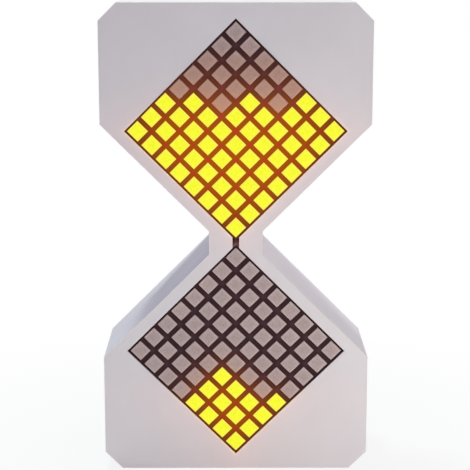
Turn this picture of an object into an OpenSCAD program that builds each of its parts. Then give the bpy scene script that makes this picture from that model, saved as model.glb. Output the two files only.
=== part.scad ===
// Electronic hourglass timer: two LED modules in an hourglass case, standing on its lower end.
// Millimetres, +Z up, front towards -Y, origin at the middle of the lower end.

/* [Display] */
// Distance between neighbouring pixels
pixel_pitch = 4; // [3.8:0.05:4.4]
// Side of one square pixel
pixel_side = 2.98; // [2.6:0.02:3.4]
// How much smaller a module is than eight pitches
module_trim = 0.2; // [0.1:0.05:0.4]
// Gap between the facing corners of the two modules
module_gap = 0.94; // [0.6:0.02:2]
// How far the modules' faces sit behind the front of the case
face_recess = 0.3; // [0.1:0.05:0.6]
// Thickness of the dark face of a module
face_t = 0.25; // [0.15:0.05:0.4]
// Depth of a module's housing
housing_depth = 6.3; // [5:0.1:7.5]
// Thickness of a module's own circuit board
base_t = 1; // [0.8:0.1:1.6]
// Air left behind each pixel for its LED die
die_space = 0.5; // [0.3:0.05:1]
// Side of an LED die
die_side = 0.4; // [0.3:0.05:0.6]
// Height of an LED die
die_h = 0.15; // [0.1:0.05:0.25]
// Gap around each pixel in its cell
pixel_fit = 0.01; // [0.005:0.005:0.03]
// How far a pixel sits behind the dark face
pixel_drop = 0.03; // [0.01:0.01:0.08]
// Distance between the two pin rows of a module
pin_row_gap = 24; // [20:0.5:25]
// Distance between neighbouring pins
pin_pitch = 2.54; // [2:0.02:2.6]
// Diameter of a pin
pin_d = 0.5; // [0.4:0.05:0.7]
// Length of pin behind the main board
pin_tail = 1.5; // [0.8:0.1:1.7]
// Gap around a pin in its holes
pin_fit = 0.15; // [0.05:0.05:0.2]

/* [Case] */
// Depth of the case from front to back
case_d = 22.6; // [21:0.1:30]
// Front face left between a window and the slope beside it
slope_rim = 2.45; // [2.3:0.05:4]
// From a window's side corner to the side of the case
side_rim = 4.85; // [4.5:0.05:7]
// From a window's end corner to the end of the case
end_rim = 3.1; // [2.9:0.05:6]
// Width of the waist
neck_w = 11; // [10:0.2:14]
// Leg of the 45 degree cut at each outer corner
corner_chamfer = 3.6; // [2.5:0.1:4]
// Thickness of the side walls
wall = 2; // [1.6:0.1:2.2]
// Thickness of the front wall
front_t = 2; // [1.6:0.1:3]
// Gap between a module and its window
window_fit = 0.05; // [0.03:0.01:0.1]
// Width of the slot between the two windows
slot_w = 1.36; // [1:0.02:2]
// Thickness of the back cover
cover_t = 2; // [1.6:0.1:2.4]
// Width of the shell's rim around the back cover
cover_rim = 1; // [0.8:0.05:1.2]
// Gap between the back cover and the rim
cover_fit = 0.1; // [0.05:0.05:0.2]
// Diameter of the posts that take the cover screws
cover_post_d = 5.5; // [5:0.1:6]
// From the outer side of the case to the centre of a cover post
cover_post_in = 5.9; // [5.6:0.1:6.2]
// Thickness of the ribs that tie the posts to the walls
rib_t = 1.2; // [0.8:0.1:1.6]
// Diameter of the posts that carry the main board
board_post_d = 4.6; // [4.2:0.1:4.8]
// Sideways step from a cover post to the board post beside it
board_post_step = 6; // [5.8:0.1:6.2]

/* [Screws] */
// Diameter of the screw shanks
screw_d = 2; // [1.6:0.1:2.2]
// Gap around a shank in its post
screw_fit = 0.02; // [0.01:0.01:0.05]
// Gap around a shank in the cover and the board
screw_pass_fit = 0.15; // [0.1:0.05:0.25]
// Head diameter of the screws
screw_head_d = 3.8; // [3.4:0.1:4]
// Head height of the countersunk cover screws
cover_head_h = 1.1; // [0.9:0.1:1.3]
// Length of the cover screws
cover_screw_l = 8; // [6:0.5:10]
// Head height of the board screws
board_head_h = 1.3; // [1:0.1:1.6]
// Length of the board screws below the head
board_screw_l = 5; // [4:0.5:5.5]
// Length of each arm of the cross recess in a head
cross_l = 1; // [0.8:0.1:1.1]
// Width of the cross recess
cross_w = 0.45; // [0.35:0.05:0.5]
// Depth of the cross recess
cross_h = 0.7; // [0.5:0.05:0.75]

/* [Main board] */
// Thickness of the main board
board_t = 1.6; // [1:0.1:1.8]
// Gap between the main board and the walls and posts
board_fit = 0.4; // [0.3:0.05:0.6]
// Length of the display driver chip
driver_l = 17.9; // [16:0.1:18]
// Width of the display driver chip's body
driver_w = 7.5; // [7:0.1:7.6]
// Height of the display driver chip
driver_h = 2.35; // [2:0.05:2.65]
// Length of the microcontroller's body
controller_l = 6.5; // [6.2:0.1:6.8]
// Width of the microcontroller's body
controller_w = 4.4; // [4:0.1:4.6]
// Height of the microcontroller
controller_h = 1.2; // [1:0.05:1.6]
// Length of the charging chip's body
charger_l = 4.9; // [4.7:0.1:5.2]
// Width of the charging chip's body
charger_w = 3.9; // [3.5:0.1:4]
// Gap between the charging chip and the charging socket
charger_gap = 2.5; // [2.2:0.1:2.7]
// Height of the charging chip
charger_h = 1.6; // [1.2:0.05:1.75]
// Distance between neighbouring leads of the driver and charging chips
lead_step = 1.27; // [1.1:0.01:1.27]
// Width of the leads of the driver and charging chips
lead_w = 0.42; // [0.3:0.02:0.5]
// Distance between neighbouring leads of the microcontroller
fine_lead_step = 0.65; // [0.5:0.01:0.65]
// Width of the microcontroller's leads
fine_lead_w = 0.25; // [0.18:0.01:0.3]
// How far the leads reach out from a chip's body
lead_reach = 1.2; // [1:0.05:1.3]
// Thickness of a chip lead
lead_t = 0.2; // [0.15:0.05:0.25]
// Length of the crystal's can
crystal_l = 5; // [4.5:0.1:5.2]
// Width of the crystal's can
crystal_w = 3.2; // [2.8:0.1:3.3]
// Height of the crystal's can
crystal_h = 1.2; // [0.8:0.05:1.6]
// Rounding of the crystal can's corners
crystal_round = 0.8; // [0.4:0.1:1.2]
// Length of a small capacitor or resistor
chip_part_l = 2; // [1.6:0.1:2]
// Width of a small capacitor or resistor
chip_part_w = 1.25; // [0.8:0.05:1.3]
// Height of a capacitor
capacitor_h = 0.9; // [0.6:0.05:1.25]
// Distance between neighbouring capacitors
capacitor_step = 3.2; // [2.6:0.1:4]
// Distance between the two columns of resistors
resistor_gap = 8.5; // [8:0.1:8.8]
// Height of a resistor
resistor_h = 0.5; // [0.35:0.05:0.6]
// Diameter of the buzzer
buzzer_d = 9; // [8.5:0.1:9.6]
// Height of the buzzer
buzzer_h = 4; // [3:0.1:6]
// How far the buzzer sits above the lever
buzzer_rise = 8.5; // [8.2:0.1:10]
// How far the buzzer sits in from the cover post below it
buzzer_in = 4; // [3:0.1:5]
// Diameter of the buzzer's sound hole
buzzer_hole_d = 2; // [1:0.1:2.5]
// Depth of the buzzer's sound hole
buzzer_hole_h = 0.5; // [0.3:0.1:1]
// Diameter of the sound holes in the back cover
sound_hole_d = 1.2; // [0.8:0.1:1.6]
// Distance between neighbouring sound holes
sound_hole_step = 2.3; // [2:0.1:2.8]

/* [Power] */
// Width of the rechargeable cell
cell_w = 34; // [30:0.5:34.5]
// Height of the rechargeable cell
cell_h = 20; // [18:0.5:20.5]
// Thickness of the rechargeable cell
cell_t = 6; // [4:0.1:7.5]
// Rounding of the cell's corners
cell_round = 1.5; // [0.8:0.1:2]
// How far the cell's middle sits above the upper module's middle
cell_rise = 6; // [5.5:0.1:6.2]
// Width of the foam pad under the cell
pad_w = 16; // [12:0.5:16.5]
// Height of the foam pad
pad_h = 8; // [6:0.5:8.5]
// Thickness of the foam pad
pad_t = 2; // [1.8:0.1:3]
// Diameter of the cell's leads
lead_wire_d = 1.2; // [0.8:0.1:1.4]
// Bend radius of the cell's leads
lead_bend = 2.2; // [1.8:0.1:2.6]
// Distance between the two leads
lead_gap = 2.6; // [2.2:0.1:2.8]
// How far the leads run down before they bend
lead_drop = 2.6; // [2:0.1:3]
// How far the foam pad sits above the cell's lower edge
pad_in = 3; // [2.5:0.1:3.5]
// Width of the charging socket
usb_w = 8.94; // [8.6:0.02:9]
// Height of the charging socket
usb_h = 3.26; // [3:0.02:3.4]
// Length of the charging socket
usb_l = 7.35; // [6.5:0.05:7.5]
// Sheet thickness of the charging socket
usb_sheet = 0.3; // [0.2:0.05:0.4]
// How far the socket's mouth sits behind the inside of the wall
usb_setback = 0.2; // [0.1:0.05:0.4]
// Width of the socket's tongue
tongue_w = 6.7; // [6.4:0.1:6.9]
// Thickness of the socket's tongue
tongue_t = 0.7; // [0.5:0.05:0.8]
// How far the tongue's tip sits behind the mouth
tongue_short = 0.75; // [0.5:0.05:1]
// Length of the block behind the tongue
tongue_block = 2; // [1.5:0.1:2.5]
// How far the port sits above the middle of the side wall
port_rise = 1; // [0.6:0.1:1.6]
// Length of the port in the side wall
port_l = 13.2; // [12.6:0.1:13.6]
// Width of the port in the side wall
port_w = 7.4; // [6.8:0.1:7.6]

/* [Controls] */
// How far the lever and the button sit in from the lower end
controls_in = 7; // [6.8:0.1:7.2]
// How far the lever and the button sit to each side of the middle
controls_out = 7; // [6.8:0.1:7.2]
// Length of the power switch
switch_l = 12; // [11:0.1:12.2]
// Width of the power switch
switch_w = 5.6; // [5.2:0.1:5.8]
// Height of the power switch's base
switch_base_h = 1.2; // [0.8:0.1:1.6]
// Height of the power switch's frame
switch_frame_h = 3.8; // [3.4:0.1:4.2]
// Sheet thickness of the power switch's frame
switch_sheet = 0.4; // [0.3:0.05:0.5]
// Gap around the sliding block in the frame
slide_fit = 0.2; // [0.1:0.05:0.25]
// Length of the sliding block
slide_block_l = 5; // [4.6:0.1:5.4]
// Length of the lever along its travel
lever_l = 2.4; // [2:0.1:2.6]
// Width of the lever across its travel
lever_w = 2; // [1.6:0.1:2.2]
// Travel of the lever
lever_travel = 2; // [1.5:0.1:2.5]
// Gap beside the lever in its slots
lever_fit = 0.3; // [0.2:0.05:0.4]
// How far the lever's tip sits below the back of the case
lever_drop = 0.3; // [0.2:0.05:0.6]
// Length of the finger hollow around the lever
scoop_l = 9; // [8:0.1:9.4]
// Width of the finger hollow around the lever
scoop_w = 6; // [5:0.1:6.4]
// Depth of the finger hollow around the lever
scoop_h = 0.9; // [0.6:0.05:1]
// Diameter of the set button
button_d = 7; // [6:0.1:7.4]
// Gap around the set button
button_fit = 0.2; // [0.1:0.05:0.3]
// How far the set button sits below the back of the case
button_drop = 0.2; // [0.1:0.05:0.5]
// How far the button's flange reaches past its hole
flange_reach = 0.8; // [0.6:0.05:1]
// Thickness of the button's flange
flange_t = 1; // [0.8:0.1:1.5]
// Diameter of the stem between the flange and the plunger
stem_d = 4; // [3.4:0.1:4.4]
// Gap between the button's flange and the cover
flange_fit = 0.1; // [0.05:0.05:0.2]
// Travel of the set button
button_travel = 0.35; // [0.25:0.05:0.5]
// Side of the push switch's base
push_side = 6; // [5.6:0.1:6.2]
// Height of the push switch's base
push_h = 3.5; // [3.1:0.1:4.5]
// Thickness left under the plunger
push_floor = 1; // [0.8:0.1:1.2]
// Diameter of the plunger
plunger_d = 3.5; // [3:0.1:3.8]
// Gap around the plunger
plunger_fit = 0.05; // [0.02:0.01:0.08]
// How far the plunger stands out of the base
plunger_out = 3.5; // [2:0.1:4.5]

/* [Tilt switch] */
// Outer diameter of the can
can_d = 5; // [4.6:0.1:5.2]
// Length of the can
can_l = 10; // [9:0.1:11]
// Sheet thickness of the can
can_sheet = 0.4; // [0.3:0.05:0.5]
// Height of the base that closes the can
can_base_h = 2; // [1.5:0.1:2.4]
// Gap between the ball and the can
ball_fit = 0.1; // [0.05:0.05:0.15]
// Gap between the ball and the ends of its travel
ball_end_fit = 0.05; // [0.02:0.01:0.1]
// Gap from the can to the side wall and to the post above it
can_gap = 0.8; // [0.5:0.1:1.2]
// Diameter of the tilt switch's pins
can_pin_d = 0.5; // [0.4:0.05:0.6]
// Bend radius of the tilt switch's pins
can_pin_bend = 1; // [0.8:0.1:1.2]
// How far the tilt switch's pins run down before they bend
can_pin_drop = 1; // [0.8:0.1:1.2]
// Gap between the can and the board
can_lift = 0.2; // [0.1:0.05:0.4]

/* [Hidden] */
$fn = 48;
// Overrun of every cut, so that no cut ends on a face
cut = 1;
// How far joined pieces run into each other inside one solid
sink = 0.4;
// Overrun of a countersink, too small to change the size of its mouth
skim = 0.01;
root2 = sqrt(2);
pixels = 8;
first_pixel = -(pixels - 1) / 2;
module_side = pixels * pixel_pitch - module_trim;
window_side = module_side + 2 * window_fit;
window_half = window_side / root2;
// Height of a module's middle above or below the middle of the case
centre_rise = (module_side / root2) + module_gap / 2;
half_w = window_half + side_rim;
half_h = centre_rise + window_half + end_rim;
// Half width that the slopes would reach at mid height
slope_reach = slope_rim * root2 + window_half - centre_rise;
// Depths measured from the front of the case
face_back = face_recess + face_t;
base_front = face_back + housing_depth;
board_front = base_front + base_t;
board_back = board_front + board_t;
cover_front = case_d - cover_t;
cell_front = board_back + pad_t;
// Places measured from the middle of the case
cover_post_x = half_w - cover_post_in;
cover_post_z = half_h - cover_post_in;
board_post_x = cover_post_x - board_post_step;
cell_z = centre_rise + cell_rise;
cell_low = cell_z - cell_h / 2;
controls_z = controls_in - half_h;
usb_mouth = half_w - wall - usb_setback;
usb_z = port_rise - (half_h - corner_chamfer + half_w - slope_reach) / 2;
usb_depth = board_back + usb_h / 2;
buzzer_x = buzzer_in - cover_post_x;
buzzer_z = controls_z + buzzer_rise;
// Places on the lower module's middle band, along and across the pin rows
driver_at = [-3, -4.6];
controller_at = [-4, 5.4];
crystal_at = [-11.4, 5.4];
charger_x = usb_mouth - usb_l - charger_gap - charger_l / 2;
charger_z = usb_z - 2.6;
resistor_x = 0.6;
resistor_low = 10.8;
red_lead_x = -3.2;
can_x = half_w - wall - can_gap - can_d / 2;
can_top = cover_post_z - cover_post_d / 2 - can_gap;
can_low = can_top - can_l;
can_axis_h = can_lift + can_d / 2;
can_bore = can_d - 2 * can_sheet;
ball_d = can_bore - 2 * ball_fit;
ball_travel = can_l - can_sheet - can_base_h - ball_d - 2 * ball_end_fit;
lever_x = -controls_out;
button_x = controls_out;
plunger_top = board_back + push_h + plunger_out;
flange_back = cover_front - flange_fit;
slot_l = lever_l + lever_travel + 2 * lever_fit;

// Hourglass outline moved inwards by an even distance
function outline(inset) =
    let (w = half_w - inset,
         h = half_h - inset,
         c = corner_chamfer - inset * (2 - root2),
         n = neck_w / 2 - inset,
         r = slope_reach - inset * root2,
         quarter = [[n, n - r], [w, w - r], [w, h - c], [w - c, h]],
         last = len(quarter) - 1)
    concat(quarter,
        [for (k = [last:-1:0]) [-quarter[k].x, quarter[k].y]],
        [for (p = quarter) -p],
        [for (k = [last:-1:0]) [quarter[k].x, -quarter[k].y]]);

// Pixels are counted from a module's lowest corner, i up to the right and j up to the left
function upper_lit(i, j) = i + j < 9 || (i + j == 9 && i - j != -1 && i - j != 3);
function lower_lit(i, j) =
    i + j < 4 || (i + j == 4 && (i - j == -2 || i - j == 0)) || (i + j == 5 && i - j == -1);
function is_lit(side, i, j) = side > 0 ? upper_lit(i, j) : lower_lit(i, j);

// A flat sketch, drawn as seen from the front about the middle of the case, between two depths
module slab(from, to)
    translate([0, to - case_d / 2, half_h])
        rotate([90, 0, 0])
            linear_extrude(to - from)
                children();

// A sketch drawn in Y and Z about the middle of the case, carried from one X to another
module along_x(from, to)
    translate([from, 0, half_h])
        rotate([90, 0, 90])
            linear_extrude(to - from)
                children();

// A piece on the back of the main board: local Z points to the back cover, local Y down
module on_back(x, z, turn = 0)
    translate([x, board_back - case_d / 2, half_h + z])
        rotate([-90, 0, 0])
            rotate(turn)
                children();

// A place on the lower module's middle band, along and across the direction of its pin rows
module on_band(at)
    on_back((at.x - at.y) / root2, (at.x + at.y) / root2 - centre_rise, -45)
        children();

module at_corners(x, z)
    for (sx = [-1, 1])
        for (sz = [-1, 1])
            translate([sx * x, sz * z])
                children();

// The square frame of the upper (side 1) or lower (side -1) module
module on_module(side)
    translate([0, side * centre_rise])
        rotate(45)
            children();

module at_pixels(side, lit)
    on_module(side)
        for (i = [0:pixels - 1])
            for (j = [0:pixels - 1])
                if (is_lit(side, i, j) == lit)
                    translate([(first_pixel + i) * pixel_pitch, (first_pixel + j) * pixel_pitch])
                        children();

module at_all_pixels(side)
    for (lit = [true, false])
        at_pixels(side, lit)
            children();

module at_pins(side)
    on_module(side)
        for (row = [-1, 1])
            for (k = [0:pixels - 1])
                translate([(first_pixel + k) * pin_pitch, row * pin_row_gap / 2])
                    children();

// A slot with round ends, its length along the sketch's second axis
module round_slot(length, width) {
    square([width, length - width], center = true);
    for (end = [-1, 1])
        translate([0, end * (length - width) / 2])
            circle(d = width);
}

module rounded_plate(size, radius) {
    square([size.x - 2 * radius, size.y], center = true);
    square([size.x, size.y - 2 * radius], center = true);
    at_corners(size.x / 2 - radius, size.y / 2 - radius)
        circle(r = radius);
}

// Case
module front_shell()
    color("whitesmoke")
        difference() {
            union() {
                difference() {
                    slab(0, case_d)
                        polygon(outline(0));
                    slab(front_t, case_d + cut)
                        polygon(outline(wall));
                    slab(cover_front, case_d + cut)
                        polygon(outline(cover_rim));
                }
                slab(front_t - sink, cover_front)
                    at_corners(cover_post_x, cover_post_z)
                        circle(d = cover_post_d);
                slab(front_t - sink, board_front)
                    at_corners(board_post_x, cover_post_z)
                        circle(d = board_post_d);
                post_ribs();
            }
            slab(-cut, front_t + cut) {
                for (side = [-1, 1])
                    on_module(side)
                        square(window_side, center = true);
                square([slot_w, 2 * centre_rise], center = true);
            }
            slab(case_d - cover_screw_l - cut, case_d)
                at_corners(cover_post_x, cover_post_z)
                    circle(d = screw_d + 2 * screw_fit);
            slab(board_back - board_screw_l - sink, board_front + cut)
                at_corners(board_post_x, cover_post_z)
                    circle(d = screw_d + 2 * screw_fit);
            along_x(half_w - wall - cut, half_w + cut)
                translate([usb_depth - case_d / 2, usb_z])
                    round_slot(port_l, port_w);
        }

// Ribs from each cover post to the side wall and to the end wall
module post_ribs()
    slab(front_t - sink, cover_front - cover_t)
        for (sx = [-1, 1])
            for (sz = [-1, 1]) {
                translate([sx * (cover_post_x + half_w - wall / 2) / 2, sz * cover_post_z])
                    square([half_w - wall / 2 - cover_post_x, rib_t], center = true);
                translate([sx * cover_post_x, sz * (cover_post_z + half_h - wall / 2) / 2])
                    square([rib_t, half_h - wall / 2 - cover_post_z], center = true);
            }

module back_cover()
    color("whitesmoke")
        difference() {
            slab(cover_front, case_d)
                polygon(outline(cover_rim + cover_fit));
            slab(cover_front - cut, case_d + cut) {
                at_corners(cover_post_x, cover_post_z)
                    circle(d = screw_d + 2 * screw_pass_fit);
                translate([button_x, controls_z])
                    circle(d = button_d + 2 * button_fit);
                translate([lever_x, controls_z])
                    square([slot_l, lever_w + 2 * lever_fit], center = true);
                sound_holes();
            }
            slab(case_d - scoop_h, case_d + cut)
                translate([lever_x, controls_z])
                    rounded_plate([scoop_l, scoop_w], scoop_w / 4);
            at_cover_screws()
                translate([0, 0, -cover_head_h - screw_pass_fit])
                    cylinder(d1 = screw_d, d2 = screw_head_d + 2 * screw_pass_fit,
                        h = cover_head_h + screw_pass_fit + skim);
        }

module sound_holes()
    translate([buzzer_x, buzzer_z]) {
        circle(d = sound_hole_d);
        for (k = [0:5])
            rotate(60 * k)
                translate([sound_hole_step, 0])
                    circle(d = sound_hole_d);
    }

// Places of the cover screws: local Z points out of the back, zero at the back of the case
module at_cover_screws()
    for (sx = [-1, 1])
        for (sz = [-1, 1])
            translate([sx * cover_post_x, case_d / 2, half_h + sz * cover_post_z])
                rotate([-90, 0, 0])
                    children();

module cross_recess()
    for (turn = [0, 90])
        rotate(turn)
            cube([2 * cross_l, cross_w, 2 * cross_h], center = true);

module cover_screws()
    color("silver")
        at_cover_screws()
            difference() {
                union() {
                    translate([0, 0, -cover_head_h])
                        cylinder(d1 = screw_d, d2 = screw_head_d, h = cover_head_h);
                    translate([0, 0, -cover_screw_l])
                        cylinder(d = screw_d, h = cover_screw_l - cover_head_h / 2);
                }
                cross_recess();
            }

module board_screws()
    color("silver")
        for (sx = [-1, 1])
            for (sz = [-1, 1])
                on_back(sx * board_post_x, sz * cover_post_z)
                    difference() {
                        union() {
                            cylinder(d = screw_head_d, h = board_head_h);
                            translate([0, 0, -board_screw_l])
                                cylinder(d = screw_d, h = board_screw_l + sink);
                        }
                        translate([0, 0, board_head_h])
                            cross_recess();
                    }

module main_board()
    color("#20242a")
        difference() {
            slab(board_front, board_back)
                polygon(outline(wall + board_fit));
            slab(board_front - cut, board_back + cut) {
                at_corners(cover_post_x + half_w / 2 - cover_post_d / 2 - board_fit,
                        cover_post_z + half_h / 2 - cover_post_d / 2 - board_fit)
                    square([half_w, half_h], center = true);
                at_corners(board_post_x, cover_post_z)
                    circle(d = screw_d + 2 * screw_pass_fit);
                for (side = [-1, 1])
                    at_pins(side)
                        circle(d = pin_d + 2 * pin_fit);
            }
        }

// Display modules
module dark_face(side)
    color("#3a2b2d")
        slab(face_recess, face_back)
            difference() {
                on_module(side)
                    square(module_side, center = true);
                at_all_pixels(side)
                    square(pixel_side + 2 * pixel_fit, center = true);
            }

module housing(side)
    color("gainsboro")
        slab(face_back, base_front)
            difference() {
                on_module(side)
                    square(module_side, center = true);
                at_all_pixels(side)
                    square(pixel_side + 2 * pixel_fit, center = true);
            }

module pixel_group(side, lit)
    slab(face_recess + pixel_drop, base_front - die_space)
        at_pixels(side, lit)
            square(pixel_side, center = true);

module dies(side)
    color("gold")
        slab(base_front - die_h, base_front)
            at_all_pixels(side)
                square(die_side, center = true);

module module_base(side)
    color("darkgreen")
        slab(base_front, board_front)
            difference() {
                on_module(side)
                    square(module_side, center = true);
                at_pins(side)
                    circle(d = pin_d + 2 * pin_fit);
            }

module module_pins(side)
    color("silver")
        slab(base_front, board_back + pin_tail)
            at_pins(side)
                circle(d = pin_d);

module upper_face() dark_face(1);
module upper_housing() housing(1);
module upper_lit_pixels() color("yellow") pixel_group(1, true);
module upper_unlit_pixels() color("#a5938f") pixel_group(1, false);
module upper_dies() dies(1);
module upper_base() module_base(1);
module upper_pins() module_pins(1);
module lower_face() dark_face(-1);
module lower_housing() housing(-1);
module lower_lit_pixels() color("yellow") pixel_group(-1, true);
module lower_unlit_pixels() color("#a5938f") pixel_group(-1, false);
module lower_dies() dies(-1);
module lower_base() module_base(-1);
module lower_pins() module_pins(-1);

// Chips
module chip_body(length, width, height)
    color("#26262a")
        difference() {
            translate([-length / 2, -width / 2, lead_t])
                cube([length, width, height - lead_t]);
            translate([width / 4 - length / 2, width / 4, height])
                cylinder(d = width / 8, h = 2 * lead_t, center = true);
        }

// Bent leads along both long sides of a chip
module chip_leads(count, step, across, width, height)
    color("silver")
        for (side = [0, 1])
            mirror([0, side, 0])
                for (k = [0:count - 1])
                    translate([(k - (count - 1) / 2) * step - across / 2, width / 2, 0])
                        rotate([90, 0, 90])
                            linear_extrude(across)
                                polygon([[lead_reach, 0], [lead_reach, lead_t],
                                    [lead_reach / 2, lead_t], [lead_reach / 2, (height + lead_t) / 2],
                                    [0, (height + lead_t) / 2], [0, (height - lead_t) / 2],
                                    [lead_reach / 2 - lead_t, (height - lead_t) / 2],
                                    [lead_reach / 2 - lead_t, 0]]);

module driver_chip() on_band(driver_at) chip_body(driver_l, driver_w, driver_h);
module driver_leads() on_band(driver_at) chip_leads(14, lead_step, lead_w, driver_w, driver_h);
module controller_chip() on_band(controller_at) chip_body(controller_l, controller_w, controller_h);
module controller_leads()
    on_band(controller_at) chip_leads(10, fine_lead_step, fine_lead_w, controller_w, controller_h);
module charger_chip() on_back(charger_x, charger_z) chip_body(charger_l, charger_w, charger_h);
module charger_leads()
    on_back(charger_x, charger_z) chip_leads(4, lead_step, lead_w, charger_w, charger_h);

module crystal()
    color("silver")
        on_band(crystal_at)
            linear_extrude(crystal_h)
                rounded_plate([crystal_l, crystal_w], crystal_round);

module small_part(height)
    linear_extrude(height)
        square([chip_part_l, chip_part_w], center = true);

module capacitors()
    color("#b08d57")
        for (k = [0:4])
            on_back((k - 2) * capacitor_step, cover_post_z, 90)
                small_part(capacitor_h);

module resistors()
    color("#26262a")
        for (column = [resistor_x - resistor_gap, resistor_x])
            for (k = [0:3])
                on_back(column, resistor_low + 1.5 * chip_part_w * k)
                    small_part(resistor_h);

module buzzer()
    color("#26262a")
        on_back(buzzer_x, buzzer_z)
            difference() {
                cylinder(d = buzzer_d, h = buzzer_h);
                translate([0, 0, buzzer_h])
                    cylinder(d = buzzer_hole_d, h = 2 * buzzer_hole_h, center = true);
            }

// Power
module cell()
    color("silver")
        slab(cell_front, cell_front + cell_t)
            translate([0, cell_z])
                rounded_plate([cell_w, cell_h], cell_round);

module cell_pad()
    color("white")
        slab(board_back, cell_front)
            translate([0, cell_low + pad_in + pad_h / 2])
                square([pad_w, pad_h], center = true);

// A wire that runs down, then bends over to the front, from a start point
module bent_wire(diameter, down, bend, forward) {
    translate([0, 0, -down])
        cylinder(d = diameter, h = down);
    translate([0, -bend, -down])
        rotate([90, 0, 90])
            rotate([0, 0, -90])
                rotate_extrude(angle = 90)
                    translate([bend, 0])
                        circle(d = diameter);
    translate([0, -bend, -down - bend])
        rotate([90, 0, 0])
            cylinder(d = diameter, h = forward - bend);
}

module cell_lead(x)
    translate([x, cell_front + cell_t / 2 - case_d / 2, half_h + cell_low])
        bent_wire(lead_wire_d, lead_drop, lead_bend, cell_front + cell_t / 2 - board_back);

module red_lead() color("red") cell_lead(red_lead_x);
module black_lead() color("#26262a") cell_lead(red_lead_x - lead_gap);

module usb_shell()
    color("silver")
        along_x(usb_mouth - usb_l, usb_mouth)
            translate([usb_depth - case_d / 2, usb_z])
                difference() {
                    round_slot(usb_w, usb_h);
                    round_slot(usb_w - 2 * usb_sheet, usb_h - 2 * usb_sheet);
                }

module usb_tongue()
    color("#26262a") {
        along_x(usb_mouth - usb_l, usb_mouth - usb_l + tongue_block)
            translate([usb_depth - case_d / 2, usb_z])
                round_slot(usb_w - 2 * usb_sheet, usb_h - 2 * usb_sheet);
        along_x(usb_mouth - usb_l + tongue_block - sink, usb_mouth - tongue_short)
            translate([usb_depth - case_d / 2, usb_z])
                square([tongue_t, tongue_w], center = true);
    }

// Controls
module switch_base()
    color("#8a6a45")
        on_back(lever_x, controls_z)
            linear_extrude(switch_base_h)
                square([switch_l, switch_w], center = true);

module switch_frame()
    color("silver")
        on_back(lever_x, controls_z)
            translate([0, 0, switch_base_h])
                difference() {
                    linear_extrude(switch_frame_h)
                        square([switch_l, switch_w], center = true);
                    translate([0, 0, -cut])
                        linear_extrude(switch_frame_h - switch_sheet + cut)
                            square([switch_l - 2 * switch_sheet, switch_w - 2 * switch_sheet], center = true);
                    linear_extrude(switch_frame_h + cut)
                        square([slot_l, lever_w + 2 * lever_fit], center = true);
                }

module switch_lever()
    color("#26262a")
        on_back(lever_x - lever_travel / 2, controls_z) {
            translate([0, 0, switch_base_h + slide_fit])
                linear_extrude(switch_frame_h - switch_sheet - 2 * slide_fit)
                    square([slide_block_l, switch_w - 2 * switch_sheet - 2 * slide_fit], center = true);
            translate([0, 0, switch_base_h + switch_frame_h / 2])
                linear_extrude(case_d - lever_drop - board_back - switch_base_h - switch_frame_h / 2)
                    square([lever_l, lever_w], center = true);
        }

module set_button()
    color("#d8d8da")
        translate([button_x, 0, half_h + controls_z])
            rotate([-90, 0, 0]) {
                translate([0, 0, plunger_top - case_d / 2])
                    cylinder(d = stem_d, h = flange_back - plunger_top);
                translate([0, 0, flange_back - flange_t - case_d / 2])
                    cylinder(d = button_d + 2 * button_fit + 2 * flange_reach, h = flange_t);
                translate([0, 0, flange_back - flange_t / 2 - case_d / 2])
                    cylinder(d = button_d, h = case_d - button_drop - flange_back + flange_t / 2);
            }

module push_base()
    color("#26262a")
        on_back(button_x, controls_z)
            difference() {
                linear_extrude(push_h)
                    square(push_side, center = true);
                translate([0, 0, push_floor])
                    cylinder(d = plunger_d + 2 * plunger_fit, h = push_h);
            }

module push_plunger()
    color("#e6e1d4")
        on_back(button_x, controls_z)
            translate([0, 0, push_floor + 2 * button_travel])
                cylinder(d = plunger_d, h = push_h + plunger_out - push_floor - 2 * button_travel);

// Tilt switch, its axis upright beside the cell and under a cover post
module on_can(height)
    translate([can_x, board_back + can_axis_h - case_d / 2, half_h + height])
        children();

module tilt_can()
    color("silver")
        on_can(can_low)
            difference() {
                cylinder(d = can_d, h = can_l);
                translate([0, 0, -cut])
                    cylinder(d = can_bore, h = can_l - can_sheet + cut);
            }

module tilt_base()
    color("#26262a")
        on_can(can_low)
            cylinder(d = can_bore, h = can_base_h);

module tilt_pins()
    color("silver")
        for (side = [-1, 1])
            on_can(can_low)
                translate([side * can_bore / 4, 0, 0])
                    bent_wire(can_pin_d, can_pin_drop, can_pin_bend, can_axis_h);

module tilt_ball()
    color("gold")
        on_can(can_low + can_base_h + ball_end_fit + ball_d / 2)
            sphere(d = ball_d);

front_shell();
back_cover();
cover_screws();
board_screws();
main_board();
upper_face();
upper_housing();
upper_lit_pixels();
upper_unlit_pixels();
upper_dies();
upper_base();
upper_pins();
lower_face();
lower_housing();
lower_lit_pixels();
lower_unlit_pixels();
lower_dies();
lower_base();
lower_pins();
driver_chip();
driver_leads();
controller_chip();
controller_leads();
charger_chip();
charger_leads();
crystal();
capacitors();
resistors();
buzzer();
cell();
cell_pad();
red_lead();
black_lead();
usb_shell();
usb_tongue();
switch_base();
switch_frame();
switch_lever();
set_button();
push_base();
push_plunger();
tilt_can();
tilt_base();
tilt_pins();
tilt_ball();
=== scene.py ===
# Looks of the electronic hourglass timer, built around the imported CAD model.
import math
import random

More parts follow.
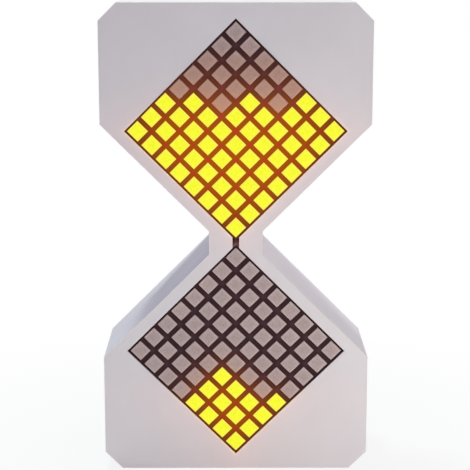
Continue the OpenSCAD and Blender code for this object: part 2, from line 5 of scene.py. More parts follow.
import bmesh
import bpy
import numpy as np
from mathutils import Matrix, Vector


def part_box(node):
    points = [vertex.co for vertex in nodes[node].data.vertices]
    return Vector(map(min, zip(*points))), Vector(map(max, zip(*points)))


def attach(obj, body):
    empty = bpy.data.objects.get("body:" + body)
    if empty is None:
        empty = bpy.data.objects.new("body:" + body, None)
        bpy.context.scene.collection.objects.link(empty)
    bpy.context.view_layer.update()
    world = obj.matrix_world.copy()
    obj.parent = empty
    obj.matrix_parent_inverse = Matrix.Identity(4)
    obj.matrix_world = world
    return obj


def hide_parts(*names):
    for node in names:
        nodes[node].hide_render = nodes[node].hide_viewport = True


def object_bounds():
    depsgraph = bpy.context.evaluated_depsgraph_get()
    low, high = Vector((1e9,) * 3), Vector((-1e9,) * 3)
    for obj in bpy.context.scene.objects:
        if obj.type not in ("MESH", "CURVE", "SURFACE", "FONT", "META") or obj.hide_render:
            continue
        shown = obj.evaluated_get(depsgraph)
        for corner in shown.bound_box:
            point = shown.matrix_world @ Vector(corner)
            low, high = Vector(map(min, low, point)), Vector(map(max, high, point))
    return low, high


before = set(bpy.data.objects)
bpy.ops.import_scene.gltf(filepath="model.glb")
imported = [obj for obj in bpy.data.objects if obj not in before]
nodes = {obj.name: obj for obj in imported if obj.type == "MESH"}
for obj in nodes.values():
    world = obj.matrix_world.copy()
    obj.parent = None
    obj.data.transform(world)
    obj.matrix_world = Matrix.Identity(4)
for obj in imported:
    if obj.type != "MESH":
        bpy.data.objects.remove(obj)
cad_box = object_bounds()

# Names and sizes repeated from the CAD source, with lengths in metres
MM = 0.001
MODULES = ("upper", "lower")
PIXELS = 8
PITCH = 4 * MM
DOT_SIDE = 2.98 * MM
DOT_GAP = 0.01 * MM
WINDOW_SIDE = 31.9 * MM
WINDOW_HALF_DIAGONAL = WINDOW_SIDE / math.sqrt(2)
CHIP_PART_LENGTH = 2 * MM


def middle(node):
    low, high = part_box(node)
    return (low + high) / 2


# Display pattern, counted from a module's lowest corner: i up to the right, j up to the left
def is_lit(module, i, j):
    row = i + j
    shift = i - j
    if module == "upper":
        return row < 9 or (row == 9 and shift not in (-1, 3))
    return row < 4 or (row == 4 and shift in (-2, 0)) or (row == 5 and shift == -1)


def dot_centre(module, i, j):
    centre = middle(module + "_face")
    step = PITCH / math.sqrt(2)
    return centre.x + (i - j) * step, centre.z + (i + j - PIXELS + 1) * step


def dot_centres(module, lit):
    found = []
    for i in range(PIXELS):
        for j in range(PIXELS):
            if is_lit(module, i, j) == lit:
                found.append(dot_centre(module, i, j))
    return found


# How far light spreads from lit dots: just round each one, and through the whole of a module's face
NEAR_SPREAD = 2.4 * MM
FACE_SPREAD = {"upper": 6 * MM, "lower": 3.3 * MM}
FACE_LIGHT = {"upper": 1.0, "lower": 0.68}
# How strongly light that spreads through a module's face is painted onto its unlit dots, warming their
# colour
FACE_PAINTED_WARMTH = {"upper": 12.0, "lower": 0.0}


def glow_at(points, module, spread):
    """Share of the light of a module's lit dots that reaches each point of its face, 1 amid lit dots."""
    lit = np.array(dot_centres(module, True))
    away = np.asarray(points)[:, None, :] - lit[None, :, :]
    amount = np.exp(-(away ** 2).sum(2) / (2 * spread ** 2)).sum(1)
    return amount * PITCH ** 2 / (2 * math.pi * spread ** 2)


# Node helpers
BLACK = (0.0, 0.0, 0.0)


def scaled(colour, amount):
    return tuple(min(1.0, c * amount) for c in colour)


class Shader:
    """A material with one Principled shader and short ways to add nodes to it."""

    def __init__(self, name, **values):
        self.material = bpy.data.materials.new(name)
        self.material.use_nodes = True
        self.tree = self.material.node_tree
        self.principled = self.tree.nodes["Principled BSDF"]
        for socket, value in values.items():
            self.to(socket.replace("_", " "), value)
        self.place = self.tree.nodes.new("ShaderNodeTexCoord").outputs["Object"]

    def node(self, kind, inputs=None, **settings):
        made = self.tree.nodes.new("ShaderNode" + kind)
        for name, value in settings.items():
            setattr(made, name, value)
        for key, value in (inputs or {}).items():
            self.set(made.inputs[key], value)
        return made

    def set(self, socket, value):
        if isinstance(value, bpy.types.NodeSocket):
            self.tree.links.new(value, socket)
        else:
            socket.default_value = value

    def to(self, socket, value):
        """Sets or links one socket of the Principled shader."""
        self.set(self.principled.inputs[socket], value)

    def axes(self):
        """The place on the object along X, Y and Z."""
        return self.node("SeparateXYZ", {0: self.place}).outputs

    def attribute(self, name):
        return self.node("Attribute", attribute_name=name).outputs["Fac"]

    def calc(self, operation, first, second=0.0, clamp=False):
        return self.node("Math", {0: first, 1: second}, operation=operation, use_clamp=clamp).outputs[0]

    def between(self, value, start, end, smooth=False):
        """0 at start and before it, 1 at end and past it."""
        inputs = {"Value": value, "From Min": start, "From Max": end}
        kind = "SMOOTHSTEP" if smooth else "LINEAR"
        return self.node("MapRange", inputs, interpolation_type=kind).outputs[0]

    def spread(self, factor, low, high):
        """low where the factor is 0, high where it is 1."""
        return self.node("MapRange", {"Value": factor, "To Min": low, "To Max": high}).outputs[0]

    def noise(self, size, detail=3.0, stretch=None):
        place = self.place
        if stretch is not None:
            place = self.node("Mapping", {"Vector": place, "Scale": stretch}).outputs[0]
        made = self.node("TexNoise", {"Vector": place, "Scale": 1 / size, "Detail": detail})
        return made.outputs["Fac"]

    def shades(self, texture, dark, light, end=0.7):
        """Colour that goes from one shade to another over the middle of a texture's range."""
        made = self.node("ValToRGB", {"Fac": texture})
        stops = ((0.3, dark), (end, light))
        for element, (position, colour) in zip(made.color_ramp.elements, stops):
            element.position = position
            element.color = (*colour, 1)
        return made.outputs["Color"]

    def tones(self, texture, colour, low, high, end=0.7):
        """One colour that drifts darker and lighter over a texture."""
        return self.shades(texture, scaled(colour, low), scaled(colour, high), end=end)

    def mix(self, factor, first, second, blend="MIX"):
        made = self.node("Mix", data_type="RGBA", blend_type=blend)
        # The node's sockets for its factor and its two colours
        sockets = (made.inputs[0], made.inputs[6], made.inputs[7])
        for socket, value in zip(sockets, (factor, first, second)):
            if isinstance(value, tuple):
                value = (*value, 1)
            self.set(socket, value)
        return made.outputs[2]

    def glow(self, colour):
        """Light that the surface gives off by itself."""
        self.to("Emission Color", colour)
        self.to("Emission Strength", 1.0)

    def bump(self, height, depth):
        made = self.node("Bump", {"Height": height, "Distance": depth})
        self.to("Normal", made.outputs[0])

    def surface(self, texture, smooth, rough, depth):
        """Gloss and relief that follow one texture."""
        self.to("Roughness", self.spread(texture, smooth, rough))
        self.bump(texture, depth)


# Materials of the inner and smaller pieces.
# Circuit boards: the step of their tracks, the size of a patch of tracks, and the step of their holes
TRACK_STEP = 0.6 * MM
PATCH_SIZE = 4.5 * MM
HOLE_STEP = 5.2 * MM
# Where their edges start and end, as shares of a track step, a patch and a hole step
TRACK_EDGE = (0.26, 0.32)
PATCH_EDGE = (0.07, 0.10)
RING_EDGE = (0.072, 0.065)
BORE_EDGE = (0.034, 0.028)
# Where in its random draw a patch of tracks turns level, and where it turns to solid copper
LEVEL_DRAW = (0.49, 0.51)
SOLID_DRAW = (0.65, 0.66)
# Length of a small part's tinned ends, with the blur of their edge
TIN_LENGTH = 0.4 * MM
TIN_BLUR = 0.02 * MM
# Contact strips of the socket's tongue: their step, their edges as shares of it, and the area they cover
CONTACT_STEP = 0.5 * MM
CONTACT_EDGE = (0.22, 0.28)
CONTACT_HALF = (3.0 * MM, 2.98 * MM)
CONTACT_SETBACK = (0.45 * MM, 0.5 * MM)
# Width of the tape on the cell, with the blur of its edge
TAPE_WIDTH = 3.6 * MM
TAPE_BLUR = 0.05 * MM


def moulded(name, colour, roughness=0.5, grain=0.35 * MM, depth=0.01 * MM, amount=0.03, painted_leak=None):
    """Moulded plastic: fine spark-eroded grain, uneven gloss, a slight drift of colour, and any painted
    glow that stands in for light leaking through it from inside."""
    uneven = 0.08
    shader = Shader(name, Metallic=0.0, Specular_IOR_Level=0.4)
    drift = shader.noise(6 * MM, 4.0)
    shader.to("Base Color", shader.tones(drift, colour, 1 - amount, 1 + amount))
    shader.surface(shader.noise(grain), roughness - uneven, roughness + uneven, depth)
    if painted_leak is not None:
        shader.glow((*painted_leak, 1))
    return shader.material


def metal(name, colour, roughness=0.3, stretch=(1, 1, 1), size=0.4 * MM):
    """Worn plated metal: drawn or brushed streaks in gloss and height, with duller patches."""
    shader = Shader(name, Metallic=1.0)
    patches = shader.noise(2.5 * MM, 4.0)
    shader.to("Base Color", shader.tones(patches, colour, 0.86, 1.0, end=0.65))
    streaks = shader.noise(size, stretch=stretch)
    shader.surface(streaks, roughness - 0.12, roughness + 0.14, 0.003 * MM)
    return shader.material


def circuit_board(name, mask, copper):
    """Solder mask over patches of parallel tracks and of solid copper, with tinned holes among them."""
    shader = Shader(name, Specular_IOR_Level=0.45)
    axes = shader.axes()
    flat = shader.node("CombineXYZ", {0: axes[0], 1: axes[2]}).outputs[0]

    def cells(step, **settings):
        scale = {"Vector": flat, "Scale": 1 / step}
        return shader.node("TexVoronoi", scale, voronoi_dimensions="2D", **settings).outputs

    def stripes(axis):
        return shader.calc("PINGPONG", shader.calc("DIVIDE", axes[axis], TRACK_STEP), 0.5)

    patch = cells(PATCH_SIZE, distance="CHEBYCHEV")
    beside = cells(PATCH_SIZE, distance="CHEBYCHEV", feature="F2")
    draw = shader.node("SeparateColor", {0: patch["Color"]}).outputs
    line = shader.spread(shader.between(draw[0], *LEVEL_DRAW), stripes(0), stripes(2))
    solid = shader.between(draw[1], *SOLID_DRAW)
    filled = shader.calc("MAXIMUM", shader.between(line, *TRACK_EDGE), solid)
    edge = shader.calc("SUBTRACT", beside["Distance"], patch["Distance"])
    track = shader.calc("MULTIPLY", filled, shader.between(edge, *PATCH_EDGE))
    hole = cells(HOLE_STEP)["Distance"]
    ring = shader.between(hole, *RING_EDGE)
    bore = shader.between(hole, *BORE_EDGE)
    haze = shader.noise(1.2 * MM, 4.0)
    colour = shader.mix(track, shader.tones(haze, mask, 0.8, 1.2), copper)
    colour = shader.mix(ring, colour, (0.66, 0.65, 0.63))
    # Painted shade: the bores of the holes are near black, standing in for their depth
    shader.to("Base Color", shader.mix(bore, colour, (0.01, 0.01, 0.01)))
    shader.to("Metallic", shader.calc("SUBTRACT", ring, bore, clamp=True))
    shader.to("Roughness", shader.spread(haze, 0.26, 0.42))
    shader.bump(shader.calc("MAXIMUM", track, ring), 0.03 * MM)
    return shader.material


def chip_part(name, node, axis, colour, columns=False):
    """A small ceramic part with tinned ends, along one axis of its node's row or two columns."""
    low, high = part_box(node)
    half = CHIP_PART_LENGTH / 2
    shader = Shader(name, Specular_IOR_Level=0.4)
    away = shader.calc("ABSOLUTE", shader.calc("SUBTRACT", shader.axes()[axis], middle(node)[axis]))
    if columns:
        column = (high[axis] - low[axis]) / 2 - half
        away = shader.calc("ABSOLUTE", shader.calc("SUBTRACT", away, column))
    tin_start = half - TIN_LENGTH
    tin = shader.between(away, tin_start - TIN_BLUR, tin_start + TIN_BLUR)
    grain = shader.noise(0.12 * MM)
    body = shader.tones(grain, colour, 0.88, 1.1)
    shader.to("Base Color", shader.mix(tin, body, (0.70, 0.70, 0.71)))
    shader.to("Metallic", tin)
    shader.surface(grain, 0.34, 0.5, 0.006 * MM)
    return shader.material


def contact_tongue():
    """Black tongue of the charging socket, with gold contact strips on its flat sides."""
    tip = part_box("usb_tongue")[1].x
    shader = Shader("socket_tongue", Specular_IOR_Level=0.4)
    axes = shader.axes()
    across = shader.calc("SUBTRACT", axes[2], middle("usb_tongue").z)
    wave = shader.calc("PINGPONG", shader.calc("DIVIDE", across, CONTACT_STEP), 0.5)
    strip = shader.between(wave, *CONTACT_EDGE)
    inside = shader.between(shader.calc("ABSOLUTE", across), *CONTACT_HALF)
    reached = shader.between(axes[0], tip - CONTACT_SETBACK[0], tip - CONTACT_SETBACK[1])
    gold = shader.calc("MULTIPLY", shader.calc("MULTIPLY", strip, inside), reached)
    grain = shader.noise(0.15 * MM)
    plastic_black = shader.shades(grain, (0.017, 0.017, 0.018), (0.025, 0.025, 0.027))
    shader.to("Base Color", shader.mix(gold, plastic_black, (0.83, 0.60, 0.22)))
    shader.to("Metallic", gold)
    shader.to("Roughness", shader.spread(grain, 0.28, 0.44))
    shader.bump(shader.calc("ADD", gold, shader.calc("MULTIPLY", grain, 0.3)), 0.015 * MM)
    return shader.material


def taped_pouch():
    """Crinkled foil pouch of the cell, with amber tape over the circuit at its lead end."""
    tape_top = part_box("cell")[0].z + TAPE_WIDTH
    shader = Shader("cell_pouch")
    tape = shader.between(shader.axes()[2], tape_top, tape_top - TAPE_BLUR)
    crinkle = shader.noise(1.4 * MM, 4.0, (0.3, 1, 1))
    foil = shader.shades(crinkle, (0.60, 0.61, 0.63), (0.72, 0.73, 0.75))
    amber = shader.shades(crinkle, (0.50, 0.24, 0.03), (0.62, 0.31, 0.05))
    shader.to("Base Color", shader.mix(tape, foil, amber))
    shader.to("Metallic", shader.spread(tape, 1.0, 0.15))
    shader.to("Roughness", shader.spread(crinkle, 0.26, 0.5))
    shader.bump(shader.calc("ADD", crinkle, tape), 0.03 * MM)
    return shader.material


# White plastic of the case, with painted glow beside lit rows: a wide soak, and a line on the window's
# lip.
# How high above each module's middle the painted glow reaches, and how far above and below that it fades
SOAK_ROWS = {"upper": (7 * MM, 9 * MM), "lower": (-8 * MM, 5 * MM)}
LIP_ROWS = {"upper": (4 * MM, 3 * MM), "lower": (-9 * MM, 3 * MM)}
# How far the painted glow goes from the window's edge, and its colour
SOAK_LENGTH = 6 * MM
PAINTED_SOAK_COLOUR = (0.10, 0.016, 0.0)
LIP_LENGTH = 0.25 * MM
PAINTED_LIP_COLOUR = (0.34, 0.20, 0.03)
# Depths behind the front at which the painted glow starts to fade and ends
SKIN = (0.1 * MM, 1.2 * MM)


def painted_spill(shader, module, rows, length):
    """Painted glow beside the lit rows of one module's window, standing in for their light."""
    lit_height, fade = rows[module]
    front = cad_box[0].y
    axes = shader.axes()
    height = shader.calc("SUBTRACT", axes[2], middle(module + "_face").z)
    diagonal = shader.calc("ADD", shader.calc("ABSOLUTE", axes[0]), shader.calc("ABSOLUTE", height))
    gap = shader.calc("MAXIMUM", shader.calc("SUBTRACT", diagonal, WINDOW_HALF_DIAGONAL), 0.0)
    soak = shader.calc("EXPONENT", shader.calc("MULTIPLY", gap, -1 / length))
    beside_lit = shader.between(height, lit_height + fade, lit_height - fade, smooth=True)
    skin = shader.between(axes[1], front + SKIN[1], front + SKIN[0])
    return shader.calc("MULTIPLY", shader.calc("MULTIPLY", soak, beside_lit), skin)


def painted_spills(shader, rows, length):
    upper, lower = (painted_spill(shader, module, rows, length) for module in MODULES)
    return shader.calc("MAXIMUM", upper, lower)


def white_plastic():
    """Smooth white plastic with faint clouds and specks, and painted glow beside lit rows of dots."""
    colour = (0.79, 0.735, 0.785)
    shader = Shader("white_plastic", Metallic=0.0, Specular_IOR_Level=0.35)
    clouds = shader.tones(shader.noise(14 * MM), colour, 0.975, 1.02)
    specks = shader.spread(shader.noise(0.5 * MM, 2.0), 0.0, 0.05)
    shader.to("Base Color", shader.mix(specks, clouds, scaled(colour, 0.8)))
    shader.surface(shader.noise(0.22 * MM), 0.46, 0.62, 0.006 * MM)
    # Painted glow for the lit dots' light on the plastic: a wide warm soak, and a bright line on the
    # window's lip
    painted_soak = shader.mix(painted_spills(shader, SOAK_ROWS, SOAK_LENGTH), BLACK, PAINTED_SOAK_COLOUR)
    shader.glow(shader.mix(painted_spills(shader, LIP_ROWS, LIP_LENGTH), painted_soak, PAINTED_LIP_COLOUR))
    return shader.material


# Materials of the display.
# The most painted glow that the dark face shows, and how softly it nears that
FACE_LIMIT = 0.74
FACE_SOFTNESS = 0.3
# Shares of that light that show away from lit dots, and at the face's border
FAR_SHARE = 0.72
BORDER_SHARE = 0.4
# How far a dot's colour goes to its rim's colour at its rim, lit and unlit
LIT_RIM = 0.6
UNLIT_RIM = 0.8
# How far the darkest unlit dot goes to the dark tone
TONE_RANGE = 0.14
# How strongly light in the face is painted onto unlit dots, as warmer colour and glow
GLOW_SPILL_STRENGTH = 1.6


def dark_face():
    """Dark printed face: brown-black, painted red-brown glow near lit dots, painted shade at its border.
    """
    shader = Shader("dark_face", Metallic=0.0, Specular_IOR_Level=0.03)
    near = shader.attribute("glow")
    crossing = shader.attribute("crossing")
    border = shader.attribute("border")
    print_grain = shader.noise(0.25 * MM)
    bars = shader.shades(print_grain, (0.042, 0.0195, 0.023), (0.053, 0.025, 0.029))
    plain = shader.mix(crossing, bars, (0.064, 0.034, 0.041))
    # Painted light: red-brown near lit dots, standing in for their seeping glow
    glow_tinted = shader.mix(near, plain, (0.06, 0.022, 0.004))
    # Painted shade: darker along the face's border, under the window's rim
    shader.to("Base Color", shader.mix(border, glow_tinted, (0.026, 0.013, 0.015)))
    # Painted glow of the lit dots' light seeping through the face, weaker at its border
    limit = {0: shader.attribute("wide_glow"), 1: FACE_LIMIT, 2: FACE_SOFTNESS}
    amount = shader.node("Math", limit, operation="SMOOTH_MIN").outputs[0]
    amount = shader.calc("MULTIPLY", amount, shader.spread(near, FAR_SHARE, 1.0))
    amount = shader.calc("MULTIPLY", amount, shader.spread(border, 1.0, BORDER_SHARE))
    seep = shader.mix(crossing, (0.46, 0.09, 0.0), (0.54, 0.056, 0.008))
    shader.glow(shader.mix(amount, BLACK, seep))
    shader.surface(print_grain, 0.42, 0.58, 0.004 * MM)
    return shader.material


def lit_dot():
    """Milky resin over a lit LED: even yellow light, a little paler at the rim."""
    shader = Shader("pixel_lit", Metallic=0.0, Specular_IOR_Level=0.3)
    resin = shader.noise(0.45 * MM)
    shader.to("Base Color", shader.shades(resin, (0.14, 0.135, 0.004), (0.18, 0.175, 0.008)))
    core = shader.shades(resin, (0.75, 0.80, 0.003), (0.85, 0.84, 0.027))
    rim = shader.calc("MULTIPLY", shader.attribute("rim"), LIT_RIM)
    shader.glow(shader.mix(rim, core, (0.87, 0.71, 0.12)))
    shader.surface(resin, 0.3, 0.45, 0.004 * MM)
    return shader.material


def unlit_dot():
    """Milky resin over an unlit LED: taupe with a paler rim, and painted glow from lit dots beside it."""
    shader = Shader("pixel_unlit", Metallic=0.0, Specular_IOR_Level=0.3)
    resin = shader.noise(0.34 * MM)
    tone = shader.spread(shader.attribute("tone"), 0.0, TONE_RANGE)
    rim = shader.calc("MULTIPLY", shader.attribute("rim"), UNLIT_RIM)
    glow_spill = shader.calc("MULTIPLY", shader.attribute("wide_glow"), GLOW_SPILL_STRENGTH, clamp=True)
    body = shader.shades(resin, (0.387, 0.300, 0.302), (0.545, 0.421, 0.423))
    body = shader.mix(tone, body, (0.30, 0.235, 0.23))
    body = shader.mix(rim, body, (0.70, 0.545, 0.565))
    # Painted light: unlit dots turn warmer where light spreads through the face into them
    body = shader.mix(shader.attribute("painted_warmth"), body, (0.965, 0.80, 0.72), "MULTIPLY")
    # Painted glow: colour and light of nearby lit dots spilling into the unlit ones
    shader.to("Base Color", shader.mix(glow_spill, body, (0.44, 0.31, 0.24)))
    shader.glow(shader.mix(glow_spill, BLACK, (0.20, 0.04, 0.0)))
    shader.surface(resin, 0.38, 0.55, 0.006 * MM)
    return shader.material


# Pieces of the display
RIGHT_UP = Vector((1, 0, 1)).normalized()
LEFT_UP = Vector((-1, 0, 1)).normalized()
# Upright corners of a dot
DOT_CORNER = 0.16 * MM
DOT_CORNER_STEPS = 3
# Front edge of a dot, as depths behind its front and distances in from its side
DOT_EDGE = ((0.16 * MM, 0.0), (0.05 * MM, 0.03 * MM), (0.01 * MM, 0.12 * MM))
# Crown of a dot, as depths behind its front, shares of its half side, and how much each is rim
DOT_CROWN = ((0.006 * MM, 0.84, 0.5), (0.002 * MM, 0.6, 0.1), (0.0, 0.3, 0.0))
# Brings a point on an edge just inside it
JUST_INSIDE = 0.999


def rounded_square(half, radius):
    """Outline of a square with rounded corners, as pairs along the module's two edges."""
    points = []
    out = (half - radius) * math.sqrt(2)
    for turn in range(4):
        corner = math.pi / 2 * turn + math.pi / 4
        for step in range(DOT_CORNER_STEPS + 1):
            angle = math.pi / 2 * (turn + step / DOT_CORNER_STEPS)
            points.append((out * math.cos(corner) + radius * math.cos(angle),
                           out * math.sin(corner) + radius * math.sin(angle)))
    return points


def set_values(mesh, name, values):
    made = mesh.attributes.new(name, "FLOAT", "POINT")
    made.data.foreach_set("value", np.asarray(values, np.float32))


def set_glow(mesh, module):
    """Light of the lit dots at every vertex: close by, and spread further through the face."""
    places = [(v.co.x, v.co.z) for v in mesh.vertices]
    set_values(mesh, "glow", glow_at(places, module, NEAR_SPREAD))
    wide = FACE_LIGHT[module] * glow_at(places, module, FACE_SPREAD[module])
    set_values(mesh, "wide_glow", wide)
    set_values(mesh, "painted_warmth", np.minimum(FACE_PAINTED_WARMTH[module] * wide, 1.0))


def new_mesh(name, builder):
    mesh = bpy.data.meshes.new(name)
    builder.to_mesh(mesh)
    builder.free()
    return mesh


def new_piece(name, mesh, material, body):
    piece = bpy.data.objects.new(name, mesh)
    bpy.context.scene.collection.objects.link(piece)
    mesh.materials.append(material)
    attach(piece, body)
    return piece


def dots(module, lit, material):
    """The resin blocks of one group of dots: square, soft-edged and slightly crowned."""
    node = f"{module}_{'lit' if lit else 'unlit'}_pixels"
    low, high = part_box(node)
    front = low.y
    half = DOT_SIDE / 2
    # From the back to the crown: place along Y, half size, and how much of it is rim
    rings = [(high.y, half, 1.0)]
    rings += [(front + depth, half - inset, 1.0) for depth, inset in DOT_EDGE]
    rings += [(front + depth, half * share, rim) for depth, share, rim in DOT_CROWN]
    builder = bmesh.new()
    rims = []
    tones = []
    chance = random.Random(node)
    for x, z in dot_centres(module, lit):
        tone = chance.random()
        before = None
        for y, size, rim in rings:
            ring = []
            for a, b in rounded_square(size, min(DOT_CORNER, size / 3)):
                offset = RIGHT_UP * a + LEFT_UP * b
                ring.append(builder.verts.new((x + offset.x, y, z + offset.z)))
                rims.append(rim)
                tones.append(tone)
            if before is None:
                builder.faces.new(ring)
            else:
                for k in range(len(ring)):
                    n = (k + 1) % len(ring)
                    builder.faces.new((before[k], ring[k], ring[n], before[n]))
            before = ring
        builder.faces.new(reversed(before))
    bmesh.ops.recalc_face_normals(builder, faces=builder.faces)
    mesh = new_mesh(node + "_resin", builder)
    set_values(mesh, "rim", rims)
    set_values(mesh, "tone", tones)
    set_glow(mesh, module)
    mesh.shade_smooth()
    piece = new_piece(node + "_resin", mesh, material, "case")
    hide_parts(node)


def face_plate(module, material):
    """The dark face of a module: a thin plate with a square opening for every dot."""
    node = module + "_face"
    low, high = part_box(node)
    centre = (low + high) / 2
    half = (high.x - low.x) / 2 / math.sqrt(2)
    opening = DOT_SIDE / 2 + DOT_GAP
    # Grid lines across the module, close enough for the glow to shade evenly along the bars
    lines = [-half]
    for k in range(PIXELS):
        at = (k - (PIXELS - 1) / 2) * PITCH
        lines += [at - opening, at - opening / 2, at, at + opening / 2, at + opening]
        if k < PIXELS - 1:
            lines.append(at + PITCH / 2)
    lines.append(half)

    def in_dot(value):
        """Whether a place along one edge of the module lies within a row of openings."""
        return abs((value / PITCH) % 1 - 0.5) * PITCH < opening

    builder = bmesh.new()
    grid = {}
    for i, a in enumerate(lines):
        for j, b in enumerate(lines):
            offset = RIGHT_UP * a + LEFT_UP * b
            grid[i, j] = builder.verts.new((centre.x + offset.x, low.y, centre.z + offset.z))
    for i in range(len(lines) - 1):
        for j in range(len(lines) - 1):
            a = (lines[i] + lines[i + 1]) / 2
            b = (lines[j] + lines[j + 1]) / 2
            if not (in_dot(a) and in_dot(b)):
                builder.faces.new((grid[i, j], grid[i + 1, j], grid[i + 1, j + 1], grid[i, j + 1]))
    loose = [v for v in builder.verts if not v.link_faces]
    bmesh.ops.delete(builder, geom=loose, context="VERTS")
    mesh = new_mesh(module + "_dark_face", builder)
    set_glow(mesh, module)
    crossings = []
    borders = []
    for vertex in mesh.vertices:
        a = (vertex.co - centre).dot(RIGHT_UP)
        b = (vertex.co - centre).dot(LEFT_UP)
        beside_dot = in_dot(a * JUST_INSIDE) or in_dot(b * JUST_INSIDE)
        crossings.append(0.0 if beside_dot else 1.0)
        borders.append(1.0 if max(abs(a), abs(b)) > half * JUST_INSIDE else 0.0)
    set_values(mesh, "crossing", crossings)
    set_values(mesh, "border", borders)
    piece = new_piece(module + "_dark_face", mesh, material, "case")
    solid = piece.modifiers.new("thickness", "SOLIDIFY")
    solid.thickness = high.y - low.y
    solid.offset = -1
    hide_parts(node)


resin_lit = lit_dot()
resin_unlit = unlit_dot()
print_dark = dark_face()
for module in MODULES:
    face_plate(module, print_dark)
    dots(module, True, resin_lit)
    dots(module, False, resin_unlit)

# Finishes of the CAD nodes
plastic = white_plastic()
steel = metal("screw_steel", (0.62, 0.62, 0.64), 0.32)
tinned = metal("pin_metal", (0.72, 0.72, 0.74), 0.34, stretch=(1, 0.1, 1))
pressed = metal("can_steel", (0.66, 0.66, 0.68), 0.28, stretch=(1, 1, 0.15))
brass = metal("ball_brass", (0.78, 0.60, 0.22), 0.18)
die = metal("led_die", (0.80, 0.62, 0.20), size=0.1 * MM)
pouch = taped_pouch()
tongue = contact_tongue()
# Module housings, with a painted warm glow standing in for light of the dots leaking through them
pale = moulded("housing_plastic", (0.78, 0.77, 0.75), painted_leak=(0.045, 0.014, 0.011))
epoxy = moulded("chip_black", (0.025, 0.025, 0.028), 0.55, grain=0.12 * MM)
black = moulded("black_plastic", (0.02, 0.02, 0.022), 0.42, grain=0.2 * MM)
grey = moulded("button_plastic", (0.50, 0.50, 0.52), 0.45, grain=0.2 * MM)
cream = moulded("plunger_plastic", (0.75, 0.72, 0.65), 0.4)
ceramic = chip_part("capacitor_body", "capacitors", 2, (0.42, 0.28, 0.15))
resistive = chip_part("resistor_body", "resistors", 0, (0.025, 0.025, 0.028), columns=True)
phenolic = moulded("phenolic", (0.28, 0.16, 0.08), 0.6, grain=0.5 * MM, amount=0.12)
foam = moulded("foam", (0.80, 0.80, 0.80), 0.9, grain=0.6 * MM, depth=0.12 * MM)
red = moulded("wire_red", (0.60, 0.02, 0.02), 0.38, grain=0.5 * MM)
dark_wire = moulded("wire_black", (0.02, 0.02, 0.02), 0.38, grain=0.5 * MM)
mask_black = circuit_board("main_board", (0.018, 0.020, 0.023), (0.045, 0.048, 0.054))
mask_green = circuit_board("module_board", (0.030, 0.13, 0.055), (0.06, 0.24, 0.10))
FINISHES = {
    "front_shell": plastic, "back_cover": plastic, "cover_screws": steel, "board_screws": steel,
    "main_board": mask_black, "driver_chip": epoxy, "controller_chip": epoxy, "charger_chip": epoxy,
    "driver_leads": tinned, "controller_leads": tinned, "charger_leads": tinned, "crystal": pressed,
    "capacitors": ceramic, "resistors": resistive, "buzzer": black, "cell": pouch, "cell_pad": foam,
    "red_lead": red, "black_lead": dark_wire, "usb_shell": pressed, "usb_tongue": tongue,
    "switch_base": phenolic, "switch_frame": pressed, "switch_lever": black, "set_button": grey,
    "push_base": black, "push_plunger": cream, "tilt_can": pressed, "tilt_base": black,
    "tilt_pins": tinned, "tilt_ball": brass,
}
for module in MODULES:
    FINISHES[module + "_housing"] = pale
    FINISHES[module + "_dies"] = die
    FINISHES[module + "_base"] = mask_green
    FINISHES[module + "_pins"] = tinned
for name, material in FINISHES.items():
    mesh = nodes[name].data
    mesh.materials.clear()
    mesh.materials.append(material)

# Small rounded edges on the moulded and turned pieces that show, with their widths
EDGES = {
    "front_shell": 0.25 * MM, "back_cover": 0.2 * MM, "set_button": 0.35 * MM, "switch_lever": 0.2 * MM,
    "cover_screws": 0.05 * MM,
}
for name, width in EDGES.items():
    piece = nodes[name]
    # The triangles of flat faces are joined first, so that only true edges are rounded
    weld = piece.modifiers.new("weld", "WELD")
    weld.merge_threshold = 0.002 * MM
    flat = piece.modifiers.new("flat", "DECIMATE")
    flat.decimate_type = "DISSOLVE"
    flat.angle_limit = math.radians(1)
    bevel = piece.modifiers.new("edges", "BEVEL")
    bevel.width = width
    bevel.segments = 3
    bevel.limit_method = "ANGLE"
    bevel.angle_limit = math.radians(30)
    bevel.harden_normals = True

# Floor, white to the camera and to reflections, with the shadow kept near the object
FLOOR_HALF = 3.0
FLOOR_DROP = 0.02 * MM
# Distances from the floor's middle between which the last of the shadow fades to plain white,
# and the share of plain white that the floor has nearer than that
WHITENING = (0.02, 0.10)
NEAR_WHITE = 0.84
floor_mesh = bpy.data.meshes.new("floor")
corners = [(sx * FLOOR_HALF, sy * FLOOR_HALF, 0) for sx, sy in ((-1, -1), (1, -1), (1, 1), (-1, 1))]
floor_mesh.from_pydata(corners, [], [(0, 1, 2, 3)])
floor = bpy.data.objects.new("floor", floor_mesh)
floor.location.z = -FLOOR_DROP
bpy.context.scene.collection.objects.link(floor)


def seen_directly(tree):
    """1 for camera, glossy and transmission rays."""
    path = tree.nodes.new("ShaderNodeLightPath")
    total = path.outputs["Is Camera Ray"]
    for name in ("Is Glossy Ray", "Is Transmission Ray"):
        either = tree.nodes.new("ShaderNodeMath")
        either.operation = "MAXIMUM"
        tree.links.new(total, either.inputs[0])
        tree.links.new(path.outputs[name], either.inputs[1])
        total = either.outputs[0]
    return total


paper = Shader("floor_white", Roughness=0.9, Specular_IOR_Level=0.0, Base_Color=(0.86, 0.86, 0.86, 1))
white = paper.node("Emission", {"Color": (1, 1, 1, 1), "Strength": 1.0})
distance = paper.node("VectorMath", {0: paper.place}, operation="LENGTH").outputs["Value"]
share = paper.spread(paper.between(distance, *WHITENING), NEAR_WHITE, 1.0)
factor = paper.calc("MULTIPLY", share, seen_directly(paper.tree))
blend = paper.node("MixShader", {0: factor, 1: paper.principled.outputs[0], 2: white.outputs[0]})
output = paper.tree.nodes["Material Output"]
paper.tree.links.new(blend.outputs[0], output.inputs["Surface"])
floor_mesh.materials.append(paper.material)

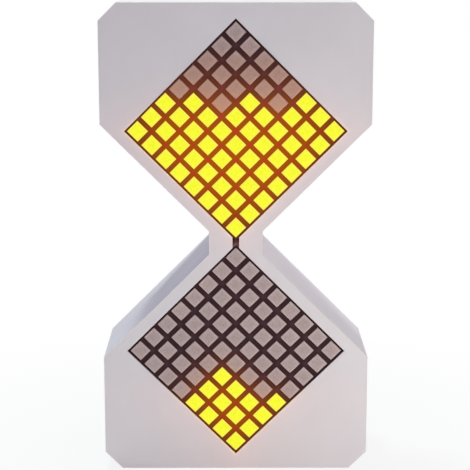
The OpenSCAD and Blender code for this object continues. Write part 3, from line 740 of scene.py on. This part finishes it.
# World: soft ambient light, and plain white to the camera and to reflections
world = bpy.data.worlds.new("studio")
world.use_nodes = True
bpy.context.scene.world = world
sky = world.node_tree
ambient = sky.nodes["Background"]
ambient.inputs["Color"].default_value = (0.81, 0.84, 1.0, 1)
ambient.inputs["Strength"].default_value = 0.30
backdrop = sky.nodes.new("ShaderNodeBackground")
backdrop.inputs["Color"].default_value = (1, 1, 1, 1)
choose = sky.nodes.new("ShaderNodeMixShader")
sky.links.new(seen_directly(sky), choose.inputs[0])
sky.links.new(ambient.outputs[0], choose.inputs[1])
sky.links.new(backdrop.outputs[0], choose.inputs[2])
sky.links.new(choose.outputs[0], sky.nodes["World Output"].inputs["Surface"])

# Lamps, aimed at the middle of the object unless they name another target
OBJECT_MIDDLE = (0, 0, 0.05)
FOOT_OF_FRONT = (0, -0.01, 0.015)


def softbox(name, place, size, watts, colour, target=OBJECT_MIDDLE, in_gloss=True):
    lamp = bpy.data.lights.new(name, "AREA")
    lamp.shape = "RECTANGLE"
    lamp.size, lamp.size_y = size
    lamp.energy = watts
    lamp.color = colour
    holder = bpy.data.objects.new(name, lamp)
    holder.location = place
    holder.rotation_mode = "QUATERNION"
    holder.rotation_quaternion = (Vector(target) - Vector(place)).to_track_quat("-Z", "Y")
    holder.visible_camera = False
    holder.visible_glossy = in_gloss
    bpy.context.scene.collection.objects.link(holder)


softbox("key", (-0.12, 0.130, 0.65), (0.10, 0.10), 1.58, (0.86, 1.0, 0.94))
softbox("high_right", (0.50, 0.05, 0.50), (0.30, 0.30), 0.457, (1.0, 0.99, 0.95))
softbox("left_fill", (-0.70, -0.05, 0.30), (0.50, 0.50), 0.557, (0.54, 0.67, 1.0))
softbox("back_fill", (0.0, 0.80, 0.30), (0.40, 0.30), 0.9, (1.0, 0.93, 0.80))
softbox("low_front", (0.095, -0.135, 0.012), (0.24, 0.02), 0.156, (1.0, 0.96, 0.81),
        target=FOOT_OF_FRONT, in_gloss=False)

# Camera at the photograph's viewing angle, aimed at a point of the front near the neck
lens = bpy.data.cameras.new("camera")
lens.sensor_width = 36.0
lens.lens = 110.44
camera = bpy.data.objects.new("camera", lens)
camera.location = Vector((-1.12, -299.47, 110.77)) * MM
front_aim = Vector((-0.17, -11.0, 50.22)) * MM
camera.rotation_mode = "QUATERNION"
camera.rotation_quaternion = (front_aim - camera.location).to_track_quat("-Z", "Y")
bpy.context.scene.collection.objects.link(camera)
bpy.context.scene.camera = camera
bpy.context.scene.view_settings.view_transform = "Standard"
